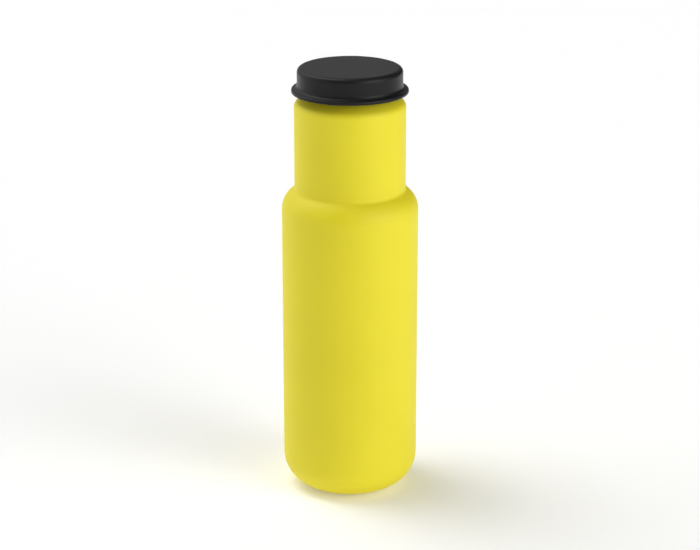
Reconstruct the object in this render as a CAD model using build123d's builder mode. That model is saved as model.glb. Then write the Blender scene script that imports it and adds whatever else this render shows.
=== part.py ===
from build123d import *
import math
import os

os.makedirs("parts", exist_ok=True)

# ---------------------------------------------------------------------------
# Double-wall insulated bicycle bottle with a flat screw lid.
# Millimetres, +Z up, origin at the centre of the base on the resting plane.
# ---------------------------------------------------------------------------

# Outer form
body_r = 37.0            # lower body, the 74 mm size that bottle cages hold
neck_r = 30.06           # straight upper section
base_round_r = 17.8      # large rounding between wall and base
shoulder_z = 159.5       # where the straight body wall ends
shoulder_r = 12.24       # convex part of the shoulder
shoulder_fillet_r = 1.84 # concave part, into the neck section
neck_top_z = 219.97      # top of the neck section
neck_top_fillet = 3.8
neck_top_arc = 58.0      # the rounding turns this far, then a cone leads up to the thread
finish_fillet = 0.8      # where the cone meets the threaded finish
foot_clear = 0.3         # steel base stands this far above the resting plane

# Sheet thicknesses
outer_wall = 0.5
inner_wall = 0.4
weld_z = 24.0            # butt weld between outer shell and outer base

# Screw thread: right hand, two starts
lead = 6.0
starts = 2
thread_root_r = 23.4
thread_crest_r = 24.5
thread_base_w = 1.3
thread_crest_w = 0.6
thread_z0 = 225.6        # centre of each ridge at its lower end
thread_rise = 4.3
rim_z = 231.2            # top of the mouth

# Drinking vessel
vessel_r = 33.8          # outside radius of the inner tube
vessel_gap = body_r - vessel_r
vessel_neck_r = neck_r - vessel_gap
vessel_shoulder_top_z = 217.2
vessel_top_fillet = 3.4
mouth_tube_r = 21.4      # outside radius of the mouth tube
vessel_weld_z = 26.5
vessel_floor_z = 8.0     # underside of the vessel's floor
vessel_base_round_r = 15.0

# Base
recess_r = 17.6
recess_z = 2.3
dimple_r = 4.0
dimple_z = 3.6
seal_hole_r = 1.0
cover_r = 17.4
cover_t = 0.6
pad_r = 17.3
pad_t = 1.6

# Lid
lid_r = 28.35
lid_top_z = 237.7
lid_top_fillet = 2.62
flange_r = 31.39
flange_z = 224.3
flange_t = 2.0
flange_fillet = 2.1
flange_top_round = 0.85   # rim of the flange: upper and lower edge
flange_low_round = 0.25
lid_bore_r = 26.55
lid_roof_t = 1.6
liner_r = 26.5
liner_bore_r = 25.0
liner_z = 224.7
liner_plate_z = 233.0
liner_plate_t = 1.2
plug_r = 20.5
plug_wall = 1.2
plug_z = 229.4
lid_thread_crest_r = 23.8
lid_thread_rise = 4.0
flank_gap = 0.15         # axial play between the loaded thread flanks
gasket_in_r = 20.9
gasket_out_r = 24.6
gasket_gap = 0.05

# ---------------------------------------------------------------------------
# Derived geometry
# ---------------------------------------------------------------------------
sh_cx = body_r - shoulder_r                     # centre of the shoulder's convex arc
sf_cx = neck_r + shoulder_fillet_r              # centre of its concave arc
sf_cz = shoulder_z + math.sqrt((shoulder_r + shoulder_fillet_r) ** 2 - (sf_cx - sh_cx) ** 2)
sh_ang = math.degrees(math.atan2(sf_cz - shoulder_z, sf_cx - sh_cx))

nt_cx = neck_r - neck_top_fillet                # centre of the rounding at the top of the neck section
nt_cz = neck_top_z - neck_top_fillet
nt_cos = math.cos(math.radians(neck_top_arc))
nt_sin = math.sin(math.radians(neck_top_arc))
cone_low = (nt_cx + neck_top_fillet * nt_cos, nt_cz + neck_top_fillet * nt_sin)
ff_cx = thread_root_r + finish_fillet           # centre of the fillet between the cone and the finish
cone_high_x = ff_cx - finish_fillet * nt_cos
cone_high = (cone_high_x, cone_low[1] + (cone_low[0] - cone_high_x) * nt_cos / nt_sin)
ff_cz = cone_high[1] + finish_fillet * nt_sin
cone_low_in = (cone_low[0] - outer_wall * nt_cos, cone_low[1] - outer_wall * nt_sin)
cone_high_in = (cone_high[0] - outer_wall * nt_cos, cone_high[1] - outer_wall * nt_sin)

# ---------------------------------------------------------------------------
# Thread ridges, made once and placed at each start
# ---------------------------------------------------------------------------
bury = 0.25                                     # how far a ridge runs into its wall
ridge_slope = (thread_base_w - thread_crest_w) / 2 / (thread_crest_r - thread_root_r)

with BuildPart() as neck_ridge:
    with BuildLine() as neck_helix:
        Helix(pitch=lead, height=thread_rise, radius=thread_root_r)
    with BuildSketch(Plane(origin=neck_helix.line @ 0, x_dir=(1, 0, 0), z_dir=neck_helix.line % 0)):
        with BuildLine():
            Polyline(
                (-bury, -thread_base_w / 2 - bury * ridge_slope),
                (thread_crest_r - thread_root_r, -thread_crest_w / 2),
                (thread_crest_r - thread_root_r, thread_crest_w / 2),
                (-bury, thread_base_w / 2 + bury * ridge_slope),
                close=True,
            )
        make_face()
    sweep(path=neck_helix.line, is_frenet=True)
    # each end runs out into the neck wall
    for end_angle in (0, thread_rise / lead * 360):
        with Locations(Location(Vector(thread_root_r - 0.02, 0, 0).rotate(Axis.Z, end_angle), (0, 0, end_angle))):
            Box(8, 30, 30, align=(Align.MIN, Align.CENTER, Align.CENTER), mode=Mode.SUBTRACT)

lid_thread_h = liner_bore_r - lid_thread_crest_r
runout_r = 12.0                                 # cutter that fades out the ends of the lid's ridges
with BuildPart() as lid_ridge:
    with BuildLine() as lid_helix:
        Helix(pitch=lead, height=lid_thread_rise, radius=liner_bore_r)
    with BuildSketch(Plane(origin=lid_helix.line @ 0, x_dir=(1, 0, 0), z_dir=lid_helix.line % 0)):
        with BuildLine():
            Polyline(
                (bury, -thread_base_w / 2 - bury * ridge_slope),
                (-lid_thread_h, -thread_crest_w / 2),
                (-lid_thread_h, thread_crest_w / 2),
                (bury, thread_base_w / 2 + bury * ridge_slope),
                close=True,
            )
        make_face()
    sweep(path=lid_helix.line, is_frenet=True)
    # each end runs out into the liner wall
    for end_angle in (0, lid_thread_rise / lead * 360):
        with Locations(Location(Vector(liner_bore_r + 0.02 - runout_r, 0, 0).rotate(Axis.Z, end_angle))):
            Cylinder(runout_r, 30, mode=Mode.SUBTRACT)

# The lid's ridges lie just under the neck's ridges, flank to flank.
overlap_h = thread_crest_r - lid_thread_crest_r
ridge_offset = thread_crest_w + overlap_h * ridge_slope + flank_gap
lid_thread_z0 = liner_z + thread_base_w / 2 + 0.1
lid_phase = (lid_thread_z0 + ridge_offset - thread_z0) / lead * 360

# ---------------------------------------------------------------------------
# Bottle: outer skin
# ---------------------------------------------------------------------------
with BuildPart() as outer_shell:
    with BuildSketch(Plane.XZ):
        with BuildLine():
            # outside, from the weld up to the mouth
            Line((body_r, weld_z), (body_r, shoulder_z))
            CenterArc((sh_cx, shoulder_z), shoulder_r, 0, sh_ang)
            CenterArc((sf_cx, sf_cz), shoulder_fillet_r, 180 + sh_ang, -sh_ang)
            Line((neck_r, sf_cz), (neck_r, neck_top_z - neck_top_fillet))
            CenterArc((nt_cx, nt_cz), neck_top_fillet, 0, neck_top_arc)
            Line(cone_low, cone_high)
            CenterArc((ff_cx, ff_cz), finish_fillet, 180 + neck_top_arc, -neck_top_arc)
            Line((thread_root_r, ff_cz), (thread_root_r, rim_z - 0.35))
            CenterArc((thread_root_r - 0.35, rim_z - 0.35), 0.35, 0, 90)
            Line((thread_root_r - 0.35, rim_z), (thread_root_r - outer_wall, rim_z))
            # inside, back down to the weld
            Line((thread_root_r - outer_wall, rim_z), (thread_root_r - outer_wall, ff_cz))
            CenterArc((ff_cx, ff_cz), finish_fillet + outer_wall, 180, neck_top_arc)
            Line(cone_high_in, cone_low_in)
            CenterArc((nt_cx, nt_cz), neck_top_fillet - outer_wall, neck_top_arc, -neck_top_arc)
            Line((neck_r - outer_wall, neck_top_z - neck_top_fillet), (neck_r - outer_wall, sf_cz))
            CenterArc((sf_cx, sf_cz), shoulder_fillet_r + outer_wall, 180, sh_ang)
            CenterArc((sh_cx, shoulder_z), shoulder_r - outer_wall, sh_ang, -sh_ang)
            Line((body_r - outer_wall, shoulder_z), (body_r - outer_wall, weld_z))
            Line((body_r - outer_wall, weld_z), (body_r, weld_z))
        make_face()
    revolve(axis=Axis.Z)
    with Locations((0, 0, thread_z0)):
        with PolarLocations(0, starts):
            add(neck_ridge.part)
outer_shell.part.label = "outer_shell"
export_step(outer_shell.part, "parts/outer_shell.step")

base_cx = body_r - base_round_r
base_cz = foot_clear + base_round_r
with BuildPart() as outer_base:
    with BuildSketch(Plane.XZ):
        with BuildLine():
            Line((body_r, weld_z), (body_r, base_cz))
            CenterArc((base_cx, base_cz), base_round_r, 0, -90)
            Line((base_cx, foot_clear), (recess_r + 0.5, foot_clear))
            CenterArc((recess_r + 0.5, foot_clear + 0.5), 0.5, 270, -90)
            Line((recess_r, foot_clear + 0.5), (recess_r, recess_z))
            Line((recess_r, recess_z), (dimple_r, recess_z))
            Line((dimple_r, recess_z), (dimple_r, dimple_z))
            Line((dimple_r, dimple_z), (seal_hole_r, dimple_z))
            Line((seal_hole_r, dimple_z), (seal_hole_r, dimple_z + outer_wall))
            Line((seal_hole_r, dimple_z + outer_wall), (dimple_r + outer_wall, dimple_z + outer_wall))
            Line((dimple_r + outer_wall, dimple_z + outer_wall), (dimple_r + outer_wall, recess_z + outer_wall))
            Line((dimple_r + outer_wall, recess_z + outer_wall), (recess_r + outer_wall, recess_z + outer_wall))
            Line((recess_r + outer_wall, recess_z + outer_wall), (recess_r + outer_wall, foot_clear + outer_wall))
            Line((recess_r + outer_wall, foot_clear + outer_wall), (base_cx, foot_clear + outer_wall))
            CenterArc((base_cx, base_cz), base_round_r - outer_wall, 270, 90)
            Line((body_r - outer_wall, base_cz), (body_r - outer_wall, weld_z))
            Line((body_r - outer_wall, weld_z), (body_r, weld_z))
        make_face()
    revolve(axis=Axis.Z)
outer_base.part.label = "outer_base"
export_step(outer_base.part, "parts/outer_base.step")

# ---------------------------------------------------------------------------
# Bottle: drinking vessel
# ---------------------------------------------------------------------------
vs_r = shoulder_r - vessel_gap                  # shoulder arcs run parallel to the outer ones
vf_r = shoulder_fillet_r + vessel_gap
vt_z = vessel_shoulder_top_z
vt_f = vessel_top_fillet
lip_z = rim_z - 1.0                             # the lip turns out to meet the outer shell
lip_r = thread_root_r - outer_wall
lip_f = 0.25                                    # rounding on the drinking edge
with BuildPart() as inner_vessel:
    with BuildSketch(Plane.XZ):
        with BuildLine():
            # outside of the vessel, from its weld up to the lip
            Line((vessel_r, vessel_weld_z), (vessel_r, shoulder_z))
            CenterArc((sh_cx, shoulder_z), vs_r, 0, sh_ang)
            CenterArc((sf_cx, sf_cz), vf_r, 180 + sh_ang, -sh_ang)
            Line((vessel_neck_r, sf_cz), (vessel_neck_r, vt_z - vt_f))
            CenterArc((vessel_neck_r - vt_f, vt_z - vt_f), vt_f, 0, 90)
            Line((vessel_neck_r - vt_f, vt_z), (mouth_tube_r + 1.0, vt_z))
            CenterArc((mouth_tube_r + 1.0, vt_z + 1.0), 1.0, 270, -90)
            Line((mouth_tube_r, vt_z + 1.0), (mouth_tube_r, lip_z - 1.4))
            Line((mouth_tube_r, lip_z - 1.4), (lip_r, lip_z))
            Line((lip_r, lip_z), (lip_r, rim_z))
            Line((lip_r, rim_z), (lip_r - inner_wall + lip_f, rim_z))
            # inside of the vessel, back down
            CenterArc((lip_r - inner_wall + lip_f, rim_z - lip_f), lip_f, 90, 90)
            Line((lip_r - inner_wall, rim_z - lip_f), (lip_r - inner_wall, lip_z + 0.2))
            Line((lip_r - inner_wall, lip_z + 0.2), (mouth_tube_r - inner_wall, lip_z - 1.2))
            Line((mouth_tube_r - inner_wall, lip_z - 1.2), (mouth_tube_r - inner_wall, vt_z + 1.0))
            CenterArc((mouth_tube_r + 1.0, vt_z + 1.0), 1.0 + inner_wall, 180, 90)
            Line((mouth_tube_r + 1.0, vt_z - inner_wall), (vessel_neck_r - vt_f, vt_z - inner_wall))
            CenterArc((vessel_neck_r - vt_f, vt_z - vt_f), vt_f - inner_wall, 90, -90)
            Line((vessel_neck_r - inner_wall, vt_z - vt_f), (vessel_neck_r - inner_wall, sf_cz))
            CenterArc((sf_cx, sf_cz), vf_r + inner_wall, 180, sh_ang)
            CenterArc((sh_cx, shoulder_z), vs_r - inner_wall, sh_ang, -sh_ang)
            Line((vessel_r - inner_wall, shoulder_z), (vessel_r - inner_wall, vessel_weld_z))
            Line((vessel_r - inner_wall, vessel_weld_z), (vessel_r, vessel_weld_z))
        make_face()
    revolve(axis=Axis.Z)
inner_vessel.part.label = "inner_vessel"
export_step(inner_vessel.part, "parts/inner_vessel.step")

ib_r = vessel_base_round_r
with BuildPart() as inner_base:
    with BuildSketch(Plane.XZ):
        with BuildLine():
            Line((0, vessel_floor_z), (vessel_r - ib_r, vessel_floor_z))
            CenterArc((vessel_r - ib_r, vessel_floor_z + ib_r), ib_r, 270, 90)
            Line((vessel_r, vessel_floor_z + ib_r), (vessel_r, vessel_weld_z))
            Line((vessel_r, vessel_weld_z), (vessel_r - inner_wall, vessel_weld_z))
            Line((vessel_r - inner_wall, vessel_weld_z), (vessel_r - inner_wall, vessel_floor_z + ib_r))
            CenterArc((vessel_r - ib_r, vessel_floor_z + ib_r), ib_r - inner_wall, 0, -90)
            Line((vessel_r - ib_r, vessel_floor_z + inner_wall), (0, vessel_floor_z + inner_wall))
            Line((0, vessel_floor_z + inner_wall), (0, vessel_floor_z))
        make_face()
    revolve(axis=Axis.Z)
inner_base.part.label = "inner_base"
export_step(inner_base.part, "parts/inner_base.step")

# ---------------------------------------------------------------------------
# Bottle: inside the vacuum gap
# ---------------------------------------------------------------------------
foil_in_r = vessel_r + 0.1
foil_t = 0.1
with BuildPart() as radiation_foil:
    with BuildSketch(Plane.XY.offset(30.0)):
        Circle(foil_in_r + foil_t)
        Circle(foil_in_r, mode=Mode.SUBTRACT)
    extrude(amount=shoulder_z - 2.5 - 30.0)
radiation_foil.part.label = "radiation_foil"
export_step(radiation_foil.part, "parts/radiation_foil.step")

getter_x = 11.0
getter_r = 4.0
getter_h = 2.1
getter_top_z = vessel_floor_z - 0.1
with BuildPart() as getter:
    with BuildSketch(Plane.XY.offset(getter_top_z - getter_h)):
        with Locations((getter_x, 0)):
            Circle(getter_r)
    extrude(amount=getter_h)
    chamfer(getter.edges().filter_by(GeomType.CIRCLE), length=0.25)
getter.part.label = "getter"
export_step(getter.part, "parts/getter.step")

clip_t = 0.3
clip_w = 4.0
clip_leg = getter_r + 0.15
clip_end = getter_r + 2.6
with BuildPart() as getter_clip:
    with BuildSketch(Plane.XZ.offset(-clip_w / 2)):
        with BuildLine():
            Polyline(
                (getter_x - clip_end, vessel_floor_z),
                (getter_x - clip_leg, vessel_floor_z),
                (getter_x - clip_leg, getter_top_z - getter_h - 0.05),
                (getter_x + clip_leg, getter_top_z - getter_h - 0.05),
                (getter_x + clip_leg, vessel_floor_z),
                (getter_x + clip_end, vessel_floor_z),
                (getter_x + clip_end, vessel_floor_z - clip_t),
                (getter_x + clip_leg + clip_t, vessel_floor_z - clip_t),
                (getter_x + clip_leg + clip_t, getter_top_z - getter_h - 0.05 - clip_t),
                (getter_x - clip_leg - clip_t, getter_top_z - getter_h - 0.05 - clip_t),
                (getter_x - clip_leg - clip_t, vessel_floor_z - clip_t),
                (getter_x - clip_end, vessel_floor_z - clip_t),
                close=True,
            )
        make_face()
    extrude(amount=clip_w)
getter_clip.part.label = "getter_clip"
export_step(getter_clip.part, "parts/getter_clip.step")

with BuildPart() as vacuum_seal:
    with BuildSketch(Plane.XZ):
        with BuildLine():
            Polyline(
                (0, dimple_z - 0.75),
                (1.2, dimple_z - 0.6),
                (2.0, dimple_z - 0.3),
                (2.3, dimple_z),
                (seal_hole_r, dimple_z),
                (seal_hole_r, dimple_z + outer_wall),
                (0, dimple_z + outer_wall + 0.15),
                close=True,
            )
        make_face()
    revolve(axis=Axis.Z)
vacuum_seal.part.label = "vacuum_seal"
export_step(vacuum_seal.part, "parts/vacuum_seal.step")

# ---------------------------------------------------------------------------
# Bottle: underside
# ---------------------------------------------------------------------------
with BuildPart() as base_cover:
    with BuildSketch(Plane.XY.offset(pad_t + 0.05)):
        Circle(cover_r)
    extrude(amount=cover_t)
    fillet(base_cover.edges().group_by(Axis.Z)[0], radius=0.2)
base_cover.part.label = "base_cover"
export_step(base_cover.part, "parts/base_cover.step")

with BuildPart() as base_pad:
    with BuildSketch():
        Circle(pad_r)
    extrude(amount=pad_t)
    # grip grooves moulded in the underside
    with BuildSketch():
        for groove_r in (13.6, 9.8, 6.0):
            Circle(groove_r + 0.6)
            Circle(groove_r - 0.6, mode=Mode.SUBTRACT)
    extrude(amount=0.5, mode=Mode.SUBTRACT)
    fillet(base_pad.edges().filter_by(GeomType.CIRCLE).sort_by(SortBy.RADIUS)[-1], radius=0.3)
base_pad.part.label = "base_pad"
export_step(base_pad.part, "parts/base_pad.step")

# ---------------------------------------------------------------------------
# Lid
# ---------------------------------------------------------------------------
with BuildPart() as lid_shell:
    with BuildSketch(Plane.XZ):
        with BuildLine():
            Line((lid_bore_r, flange_z), (flange_r - flange_low_round, flange_z))
            CenterArc((flange_r - flange_low_round, flange_z + flange_low_round), flange_low_round, 270, 90)
            Line((flange_r, flange_z + flange_low_round), (flange_r, flange_z + flange_t - flange_top_round))
            CenterArc((flange_r - flange_top_round, flange_z + flange_t - flange_top_round), flange_top_round, 0, 90)
            Line((flange_r - flange_top_round, flange_z + flange_t), (lid_r + flange_fillet, flange_z + flange_t))
            CenterArc((lid_r + flange_fillet, flange_z + flange_t + flange_fillet), flange_fillet, 270, -90)
            Line((lid_r, flange_z + flange_t + flange_fillet), (lid_r, lid_top_z - lid_top_fillet))
            CenterArc((lid_r - lid_top_fillet, lid_top_z - lid_top_fillet), lid_top_fillet, 0, 90)
            Line((lid_r - lid_top_fillet, lid_top_z), (0, lid_top_z))
            Line((0, lid_top_z), (0, lid_top_z - lid_roof_t))
            Line((0, lid_top_z - lid_roof_t), (lid_bore_r - 1.0, lid_top_z - lid_roof_t))
            CenterArc((lid_bore_r - 1.0, lid_top_z - lid_roof_t - 1.0), 1.0, 90, -90)
            Line((lid_bore_r, lid_top_z - lid_roof_t - 1.0), (lid_bore_r, flange_z))
        make_face()
    revolve(axis=Axis.Z)
lid_shell.part.label = "lid_shell"
export_step(lid_shell.part, "parts/lid_shell.step")

with BuildPart() as lid_liner:
    with BuildSketch(Plane.XZ):
        with BuildLine():
            Polyline(
                (liner_bore_r, liner_z),
                (liner_r, liner_z),
                (liner_r, liner_plate_z + liner_plate_t),
                (0, liner_plate_z + liner_plate_t),
                (0, liner_plate_z),
                (plug_r - plug_wall, liner_plate_z),
                (plug_r - plug_wall, plug_z),
                (plug_r - 0.4, plug_z),
                (plug_r, plug_z + 0.6),
                (plug_r, liner_plate_z),
                (liner_bore_r, liner_plate_z),
                close=True,
            )
        make_face()
    revolve(axis=Axis.Z)
    with Locations((0, 0, lid_thread_z0)):
        with PolarLocations(0, starts, start_angle=lid_phase):
            add(lid_ridge.part)
lid_liner.part.label = "lid_liner"
export_step(lid_liner.part, "parts/lid_liner.step")

foam_z0 = liner_plate_z + liner_plate_t + 0.05
foam_z1 = lid_top_z - lid_roof_t - 0.05
with BuildPart() as lid_insulation:
    with BuildSketch(Plane.XY.offset(foam_z0)):
        Circle(liner_r - 1.1)
    extrude(amount=foam_z1 - foam_z0)
lid_insulation.part.label = "lid_insulation"
export_step(lid_insulation.part, "parts/lid_insulation.step")

with BuildPart() as lid_gasket:
    with BuildSketch(Plane.XZ):
        with BuildLine():
            Polyline(
                (gasket_in_r, rim_z + gasket_gap),
                (gasket_out_r, rim_z + gasket_gap),
                (gasket_out_r, liner_plate_z - gasket_gap),
                (gasket_in_r, liner_plate_z - gasket_gap),
                close=True,
            )
        make_face()
    revolve(axis=Axis.Z)
    fillet(lid_gasket.edges().filter_by(GeomType.CIRCLE), radius=0.35)
lid_gasket.part.label = "lid_gasket"
export_step(lid_gasket.part, "parts/lid_gasket.step")

for piece in (outer_shell, outer_base, inner_vessel, inner_base, radiation_foil, getter, getter_clip,
              vacuum_seal, base_cover, base_pad, lid_shell, lid_liner, lid_insulation, lid_gasket):
    print(f"{piece.part.label:16s} {piece.part.volume / 1000:8.2f} cm3")
print(f"lid phase {lid_phase:.2f} deg, ridge offset {ridge_offset:.3f} mm, foam {foam_z1 - foam_z0:.2f} mm")
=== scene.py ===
import bpy
import math
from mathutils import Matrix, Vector

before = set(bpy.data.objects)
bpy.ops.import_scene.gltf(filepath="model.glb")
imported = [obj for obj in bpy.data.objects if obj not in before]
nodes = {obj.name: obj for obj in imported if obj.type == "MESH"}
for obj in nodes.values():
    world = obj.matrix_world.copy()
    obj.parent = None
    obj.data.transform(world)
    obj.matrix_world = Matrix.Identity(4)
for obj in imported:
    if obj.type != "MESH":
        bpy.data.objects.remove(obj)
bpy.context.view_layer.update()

scene = bpy.context.scene

# ---------------------------------------------------------------------------
# node helpers
# ---------------------------------------------------------------------------

class Mat:
    """A material's node tree with short calls for the nodes used below."""

    def __init__(self, name):
        self.mat = bpy.data.materials.new(name)
        self.mat.use_nodes = True
        self.nt = self.mat.node_tree
        self.bsdf = self.nt.nodes["Principled BSDF"]
        self.out = self.nt.nodes["Material Output"]
        self.obj = self.node("ShaderNodeTexCoord").outputs["Object"]

    def node(self, kind, **inputs):
        n = self.nt.nodes.new(kind)
        for k, v in inputs.items():
            self.set(n, k, v)
        return n

    def set(self, n, key, value):
        sock = n.inputs[key]
        if isinstance(value, bpy.types.NodeSocket):
            self.nt.links.new(value, sock)
        else:
            sock.default_value = value

    def put(self, key, value):
        self.set(self.bsdf, key, value)

    def math(self, op, a, b=0.0, c=0.0, clamp=False):
        n = self.nt.nodes.new("ShaderNodeMath")
        n.operation = op
        n.use_clamp = clamp
        for i, v in enumerate((a, b, c)):
            self.set(n, i, v)
        return n.outputs[0]

    def noise(self, vec, scale, detail=2.0, rough=0.5, dist=0.0):
        n = self.node("ShaderNodeTexNoise")
        n.inputs["Scale"].default_value = scale
        n.inputs["Detail"].default_value = detail
        n.inputs["Roughness"].default_value = rough
        n.inputs["Distortion"].default_value = dist
        self.nt.links.new(vec, n.inputs["Vector"])
        return n.outputs["Fac"]

    def voronoi(self, vec, scale, feature="F1"):
        n = self.node("ShaderNodeTexVoronoi")
        n.feature = feature
        n.inputs["Scale"].default_value = scale
        self.nt.links.new(vec, n.inputs["Vector"])
        return n.outputs["Distance"]

    def remap(self, v, a, b, c, d, smooth=False):
        n = self.nt.nodes.new("ShaderNodeMapRange")
        n.interpolation_type = "SMOOTHSTEP" if smooth else "LINEAR"
        self.set(n, "Value", v)
        for k, x in (("From Min", a), ("From Max", b), ("To Min", c), ("To Max", d)):
            n.inputs[k].default_value = x
        return n.outputs["Result"]

    def mix(self, fac, a, b):
        n = self.nt.nodes.new("ShaderNodeMix")
        n.data_type = "RGBA"
        for i, v in ((0, fac), (6, a), (7, b)):
            if isinstance(v, bpy.types.NodeSocket):
                self.nt.links.new(v, n.inputs[i])
            elif i == 0:
                n.inputs[0].default_value = v
            else:
                n.inputs[i].default_value = (*v, 1.0)
        return n.outputs[2]

    def bump(self, height, strength, distance, normal=None):
        n = self.nt.nodes.new("ShaderNodeBump")
        n.inputs["Strength"].default_value = strength
        n.inputs["Distance"].default_value = distance
        self.nt.links.new(height, n.inputs["Height"])
        if normal is not None:
            self.nt.links.new(normal, n.inputs["Normal"])
        return n.outputs["Normal"]

    def mapping(self, vec, scale=(1, 1, 1)):
        n = self.nt.nodes.new("ShaderNodeMapping")
        self.nt.links.new(vec, n.inputs["Vector"])
        n.inputs["Scale"].default_value = scale
        return n.outputs["Vector"]

    def xyz(self, vec):
        n = self.nt.nodes.new("ShaderNodeSeparateXYZ")
        self.nt.links.new(vec, n.inputs[0])
        return n.outputs[0], n.outputs[1], n.outputs[2]

    def length(self, x, y):
        return self.math("SQRT", self.math("ADD", self.math("MULTIPLY", x, x), self.math("MULTIPLY", y, y)))

    def combine(self, x, y, z):
        n = self.nt.nodes.new("ShaderNodeCombineXYZ")
        for i, v in enumerate((x, y, z)):
            self.set(n, i, v)
        return n.outputs[0]

    def steel(self, vec, around=True, base=(0.60, 0.585, 0.56), dark=(0.50, 0.485, 0.465), rough=(0.24, 0.36), deep=0.35):
        """Turned or brushed stainless steel: fine lines around the axis (in height on a wall, in radius on a disc)."""
        x, y, z = self.xyz(vec)
        r = self.length(x, y)
        if around:
            lines = self.combine(self.math("MULTIPLY", x, 14.0), self.math("MULTIPLY", y, 14.0), self.math("MULTIPLY", z, 1500.0))
        else:
            lines = self.combine(self.math("MULTIPLY", x, 10.0), self.math("MULTIPLY", y, 10.0), self.math("MULTIPLY", r, 1700.0))
        fine = self.noise(lines, 1.0, 3.0, 0.6)
        broad = self.noise(lines, 0.12, 2.0, 0.5)
        smudge = self.noise(vec, 45.0, 3.0, 0.55)
        col = self.mix(self.remap(self.math("ADD", self.math("MULTIPLY", fine, 0.6), self.math("MULTIPLY", broad, 0.4)), 0.3, 0.7, 0.0, 1.0), dark, base)
        rg = self.math("ADD", self.remap(fine, 0.3, 0.7, rough[0], rough[1]), self.remap(smudge, 0.35, 0.75, -0.03, 0.06))
        nrm = self.bump(fine, deep, 0.00003)
        return col, rg, nrm


# ---------------------------------------------------------------------------
# materials
# ---------------------------------------------------------------------------
def assign(node, mat):
    o = nodes[node]
    o.data.materials.clear()
    o.data.materials.append(mat)


def powder_coat():
    """Satin powder coat over blasted steel: a fine grain, a soft orange peel under it, slight clouding and specks. The
    coat stops in a slightly uneven line on the neck, and above it the threaded finish is bare steel."""
    m = Mat("powder_coat")
    grain = m.noise(m.obj, 2300.0, 2.0, 0.55)
    peel = m.noise(m.obj, 520.0, 2.0, 0.5)
    cloud = m.noise(m.obj, 16.0, 3.0, 0.5)
    speck = m.noise(m.obj, 1400.0, 0.0, 0.5)
    col = m.mix(m.remap(cloud, 0.3, 0.7, 0.0, 1.0), COAT_A, COAT_B)
    col = m.mix(m.remap(grain, 0.30, 0.72, 0.10, 0.0), col, COAT_DEEP)
    col = m.mix(m.remap(speck, 0.76, 0.84, 0.0, 0.12), col, (0.90, 0.82, 0.10))
    coat_rough = m.math("ADD", m.remap(grain, 0.3, 0.7, COAT_ROUGH[0], COAT_ROUGH[1]), m.remap(cloud, 0.3, 0.7, -0.02, 0.03))
    h = m.math("ADD", m.math("MULTIPLY", grain, 0.45), m.math("MULTIPLY", peel, 0.55))
    coat_n = m.bump(h, COAT_BUMP, 0.00006)

    x, y, z = m.xyz(m.obj)
    ragged = m.noise(m.obj, 260.0, 2.0, 0.5)
    edge = m.math("ADD", z, m.remap(ragged, 0.3, 0.7, -0.00018, 0.00018))
    bare = m.remap(edge, PAINT_TOP - 0.00005, PAINT_TOP + 0.00005, 0.0, 1.0)
    scol, srough, sn = m.steel(m.obj)
    m.put("Base Color", m.mix(bare, col, scol))
    m.put("Metallic", bare)
    m.put("Roughness", m.math("ADD", m.math("MULTIPLY", coat_rough, m.math("SUBTRACT", 1.0, bare)), m.math("MULTIPLY", srough, bare)))
    m.put("Specular IOR Level", COAT_SPEC)
    mixn = m.nt.nodes.new("ShaderNodeMix")
    mixn.data_type = "VECTOR"
    m.nt.links.new(bare, mixn.inputs[0])
    m.nt.links.new(coat_n, mixn.inputs[4])
    m.nt.links.new(sn, mixn.inputs[5])
    m.put("Normal", mixn.outputs[1])
    return m.mat


def moulded(name, a, b, rough, spec, grain_scale=2600.0, deep=0.25, swirl=30.0, dist=0.00004):
    """Moulded plastic or rubber: a spark-eroded grain, and a faint unevenness of colour and gloss from the flow."""
    m = Mat(name)
    grain = m.noise(m.obj, grain_scale, 2.0, 0.6)
    pits = m.voronoi(m.obj, grain_scale * 0.55)
    flow = m.noise(m.obj, swirl, 3.0, 0.5, 0.6)
    m.put("Base Color", m.mix(m.remap(flow, 0.3, 0.7, 0.0, 1.0), a, b))
    m.put("Roughness", m.math("ADD", m.remap(grain, 0.3, 0.7, rough[0], rough[1]), m.remap(flow, 0.3, 0.7, -0.02, 0.02)))
    m.put("Specular IOR Level", spec)
    h = m.math("ADD", m.math("MULTIPLY", grain, 0.6), m.math("MULTIPLY", pits, 0.4))
    m.put("Normal", m.bump(h, deep, dist))
    return m


def steel_mat(name, around=True, **kw):
    m = Mat(name)
    col, rough, nrm = m.steel(m.obj, around, **kw)
    m.put("Base Color", col)
    m.put("Metallic", 1.0)
    m.put("Roughness", rough)
    m.put("Normal", nrm)
    return m


def vessel():
    """Inner vessel: brushed wall, electropolished to a softer shine further down, with turned lines on the floor."""
    m = Mat("vessel_steel")
    x, y, z = m.xyz(m.obj)
    col, rough, nrm = m.steel(m.obj, True)
    dcol, drough, dn = m.steel(m.obj, False, rough=(0.20, 0.32))
    r = m.length(x, y)
    low = m.remap(z, 0.012, 0.020, 1.0, 0.0, True)
    m.put("Base Color", m.mix(low, col, dcol))
    m.put("Metallic", 1.0)
    m.put("Roughness", m.math("ADD", m.math("MULTIPLY", rough, m.math("SUBTRACT", 1.0, low)), m.math("MULTIPLY", drough, low)))
    mixn = m.nt.nodes.new("ShaderNodeMix")
    mixn.data_type = "VECTOR"
    m.nt.links.new(low, mixn.inputs[0])
    m.nt.links.new(nrm, mixn.inputs[4])
    m.nt.links.new(dn, mixn.inputs[5])
    m.put("Normal", mixn.outputs[1])
    return m.mat


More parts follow.
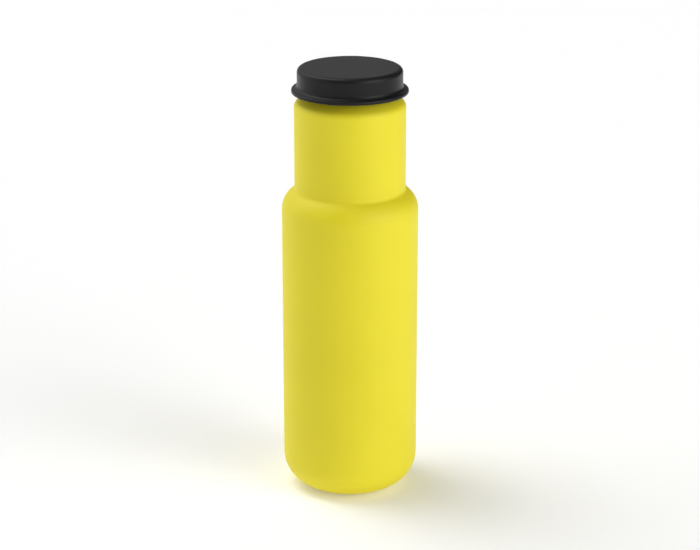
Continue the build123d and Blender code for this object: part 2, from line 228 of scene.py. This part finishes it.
def foil():
    m = Mat("foil")
    big = m.voronoi(m.obj, 120.0)
    crease = m.voronoi(m.obj, 300.0, "DISTANCE_TO_EDGE")
    fine = m.noise(m.obj, 700.0, 2.0, 0.5)
    m.put("Base Color", m.mix(fine, (0.80, 0.79, 0.77), (0.88, 0.87, 0.86)))
    m.put("Metallic", 1.0)
    m.put("Roughness", m.remap(fine, 0.3, 0.7, 0.16, 0.30))
    h = m.math("ADD", m.math("MULTIPLY", big, 0.7), m.math("MULTIPLY", m.remap(crease, 0.0, 0.12, 0.0, 1.0), 0.3))
    m.put("Normal", m.bump(h, 0.6, 0.0003))
    return m.mat


def getter():
    m = Mat("getter_alloy")
    grit = m.voronoi(m.obj, 3200.0)
    tone = m.noise(m.obj, 900.0, 3.0, 0.6)
    m.put("Base Color", m.mix(tone, (0.10, 0.10, 0.105), (0.19, 0.19, 0.185)))
    m.put("Metallic", 0.7)
    m.put("Roughness", m.remap(tone, 0.3, 0.7, 0.55, 0.75))
    m.put("Normal", m.bump(grit, 0.7, 0.0001))
    return m.mat


def glass_bead():
    m = Mat("seal_glass")
    tone = m.noise(m.obj, 1300.0, 3.0, 0.6)
    flow = m.noise(m.obj, 300.0, 1.0, 0.5, 1.0)
    m.put("Base Color", m.mix(m.remap(tone, 0.35, 0.7, 0.0, 1.0), (0.045, 0.055, 0.05), (0.11, 0.12, 0.10)))
    m.put("Roughness", m.remap(flow, 0.3, 0.7, 0.08, 0.2))
    m.put("Normal", m.bump(flow, 0.3, 0.0001))
    return m.mat


def gasket():
    """Milky silicone, slightly translucent, with a moulded matt skin."""
    m = moulded("gasket_silicone", (0.72, 0.73, 0.71), (0.80, 0.80, 0.78), (0.38, 0.48), 0.45, 2000.0, 0.18, 60.0)
    m.put("Subsurface Weight", 0.35)
    m.bsdf.inputs["Subsurface Radius"].default_value = (1.0, 0.95, 0.85)
    m.bsdf.inputs["Subsurface Scale"].default_value = 0.0015
    return m.mat


def foam():
    m = Mat("lid_foam")
    cell = m.voronoi(m.obj, 1300.0)
    edge = m.voronoi(m.obj, 1300.0, "DISTANCE_TO_EDGE")
    tone = m.noise(m.obj, 90.0, 2.0, 0.5)
    m.put("Base Color", m.mix(m.remap(edge, 0.0, 0.1, 0.0, 1.0), (0.70, 0.70, 0.69), m.mix(tone, (0.82, 0.82, 0.81), (0.88, 0.88, 0.87))))
    m.put("Roughness", m.remap(cell, 0.0, 0.6, 0.8, 0.65))
    m.put("Normal", m.bump(cell, 0.5, 0.0003))
    return m.mat


COAT_A = (0.795, 0.690, 0.018)
COAT_B = (0.835, 0.728, 0.022)
COAT_DEEP = (0.60, 0.49, 0.010)
COAT_ROUGH = (0.51, 0.59)
COAT_BUMP = 0.32
COAT_SPEC = 0.35
PAINT_TOP = 0.2229

coat = powder_coat()
for n in ("outer_shell", "outer_base"):
    assign(n, coat)
assign("lid_shell", moulded("lid_plastic", (0.0114, 0.0114, 0.0120), (0.0141, 0.0141, 0.0148), (0.33, 0.40), 0.155).mat)
assign("lid_liner", moulded("liner_plastic", (0.020, 0.020, 0.021), (0.026, 0.026, 0.027), (0.30, 0.38), 0.4, 3000.0, 0.12).mat)
steel_vessel = vessel()
for n in ("inner_vessel", "inner_base"):
    assign(n, steel_vessel)
assign("getter_clip", steel_mat("clip_steel", True, rough=(0.28, 0.4)).mat)
assign("base_cover", steel_mat("cover_steel", False, rough=(0.26, 0.40), deep=0.45).mat)
assign("radiation_foil", foil())
assign("getter", getter())
assign("vacuum_seal", glass_bead())
assign("base_pad", moulded("pad_rubber", (0.020, 0.020, 0.021), (0.030, 0.030, 0.031), (0.68, 0.82), 0.3, 1500.0, 0.5, 40.0, 0.00008).mat)
assign("lid_gasket", gasket())
assign("lid_insulation", foam())

# ---------------------------------------------------------------------------
# stage
# ---------------------------------------------------------------------------
def floor():
    me = bpy.data.meshes.new("floor")
    s = 4.0
    me.from_pydata([(-s, -s, 0), (s, -s, 0), (s, s, 0), (-s, s, 0)], [], [(0, 1, 2, 3)])
    ob = bpy.data.objects.new("floor", me)
    scene.collection.objects.link(ob)
    m = Mat("floor_white")
    soft = m.noise(m.obj, 40.0, 2.0, 0.5)
    m.put("Base Color", m.mix(soft, (0.935, 0.935, 0.935), (0.945, 0.945, 0.945)))
    m.put("Roughness", m.remap(soft, 0.3, 0.7, 0.86, 0.94))
    m.put("Specular IOR Level", 0.2)
    m.put("Emission Color", (1.0, 1.0, 1.0, 1.0))
    m.put("Emission Strength", FLOOR_GLOW)
    me.materials.append(m.mat)
    return ob


FLOOR_GLOW = 0.15
floor()

cam_data = bpy.data.cameras.new("camera")
cam = bpy.data.objects.new("camera", cam_data)
scene.collection.objects.link(cam)
elev = math.radians(18.74)
dist = 1.2051
cam.location = (0.0, -dist * math.cos(elev), 0.12107 + dist * math.sin(elev))
cam.rotation_euler = (math.pi / 2 - elev, 0.0, 0.0)
cam_data.sensor_width = 36.0
cam_data.lens = 2200.0 / 700.0 * 36.0
cam_data.clip_start = 0.01
cam_data.clip_end = 50.0
scene.camera = cam

# Soft studio light: broad glowing patches around the room. Each is (height angle, angle from +X towards +Y, strength,
# tightness), and its light falls off as exp(tightness * (cos(angle off its centre) - 1)).
SOFT = [
    (20.0, 98.0, 0.380, 9.0),
    (4.0, 180.0, 1.077, 9.0),
    (4.0, 210.0, 0.371, 9.0),
    (32.0, 150.0, 1.422, 9.0),
    (8.0, 300.0, 1.501, 45.0),
    (8.0, 316.0, 3.434, 45.0),
    (8.0, 332.0, 2.059, 45.0),
    (8.0, 348.0, 1.979, 45.0),
    (24.0, 316.0, 2.854, 45.0),
    (24.0, 332.0, 2.469, 45.0),
    (42.0, 308.0, 0.253, 45.0),
    (42.0, 330.0, 2.860, 45.0),
    (35.0, 140.0, 0.033, 45.0),
    (52.0, 140.0, 2.069, 45.0),
    (52.0, 165.0, 1.545, 45.0),
    (70.0, 150.0, 3.019, 30.0),
    (76.0, 180.0, 3.001, 45.0),
]


def studio():
    w = bpy.data.worlds.new("studio")
    scene.world = w
    w.use_nodes = True
    nt = w.node_tree
    bg = nt.nodes["Background"]
    out = nt.nodes["World Output"]
    bg.inputs["Color"].default_value = (1.0, 1.0, 1.0, 1.0)
    tc = nt.nodes.new("ShaderNodeTexCoord")

    def calc(op, a, b=None, c=None):
        n = nt.nodes.new("ShaderNodeMath")
        n.operation = op
        for i, v in enumerate((a, b, c)):
            if v is None:
                continue
            if isinstance(v, bpy.types.NodeSocket):
                nt.links.new(v, n.inputs[i])
            else:
                n.inputs[i].default_value = v
        return n.outputs[0]

    total = 0.0
    for e, a, strength, tight in SOFT:
        er, ar = math.radians(e), math.radians(a)
        d = nt.nodes.new("ShaderNodeVectorMath")
        d.operation = "DOT_PRODUCT"
        nt.links.new(tc.outputs["Generated"], d.inputs[0])
        d.inputs[1].default_value = (math.cos(er) * math.cos(ar), math.cos(er) * math.sin(ar), math.sin(er))
        falloff = calc("EXPONENT", calc("MULTIPLY_ADD", d.outputs["Value"], tight, -tight))
        total = calc("MULTIPLY_ADD", falloff, strength, total)
    nt.links.new(total, bg.inputs["Strength"])

    # what shows beyond the floor is plain white
    plain = nt.nodes.new("ShaderNodeBackground")
    plain.inputs["Color"].default_value = (1.0, 1.0, 1.0, 1.0)
    plain.inputs["Strength"].default_value = 1.0
    path = nt.nodes.new("ShaderNodeLightPath")
    pick = nt.nodes.new("ShaderNodeMixShader")
    nt.links.new(path.outputs["Is Camera Ray"], pick.inputs[0])
    nt.links.new(bg.outputs[0], pick.inputs[1])
    nt.links.new(plain.outputs[0], pick.inputs[2])
    nt.links.new(pick.outputs[0], out.inputs["Surface"])


studio()

scene.view_settings.view_transform = "Standard"
scene.view_settings.look = "None"
